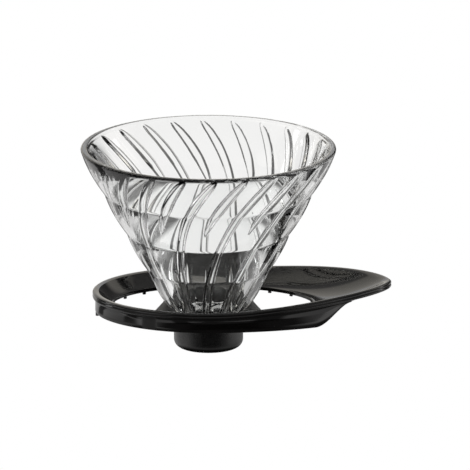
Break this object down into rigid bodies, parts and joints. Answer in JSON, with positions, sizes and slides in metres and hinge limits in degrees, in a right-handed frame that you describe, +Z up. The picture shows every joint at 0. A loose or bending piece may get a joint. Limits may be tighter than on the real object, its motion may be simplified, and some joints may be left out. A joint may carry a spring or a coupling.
{
  "type": "pour over dripper",
  "caption": "Ribbed glass coffee dripper cone in a black oval holder with a paddle handle, clamped by a screw-on nut below.",
  "frame": {"origin": "under the middle of the whole object, at the height of the nut's lower face", "axes": "+X towards the paddle handle, +Z up along the cone's axis, which lies 12.6 mm to the -X side"},
  "size_m": [0.1412, 0.116, 0.0935],
  "materials": {
    "clear_glass": "clear, fire polished, with soft moulded ribs",
    "gloss_black": "near-black, slightly warm, crisp reflections with a faint moulding waviness",
    "satin_black": "satin black with a very fine texture",
    "seal_rubber": "matte dark silicone"
  },
  "bodies": {
    "holder": {"glass_cone": "clear_glass", "handle_plate": "gloss_black", "skirt_frame": "gloss_black"},
    "seal": {"seal_ring": "seal_rubber"},
    "nut": {"clamp_nut": "satin_black"}
  },
  "joints": [
    {"name": "seal_drop", "type": "slide", "parent": "holder", "child": "seal", "axis": [0, 0, -1], "range_m": [0, 0.006]},
    {"name": "nut_turn", "type": "hinge", "parent": "seal", "child": "nut", "pos_m": [-0.0126, 0, 0.006], "axis": [0, 0, -1], "range_deg": [0, 540]}
  ],
  "couplings": [
    {"joint": "seal_drop", "follows": "nut_turn", "m_per_rad": 0.00063662}
  ]
}
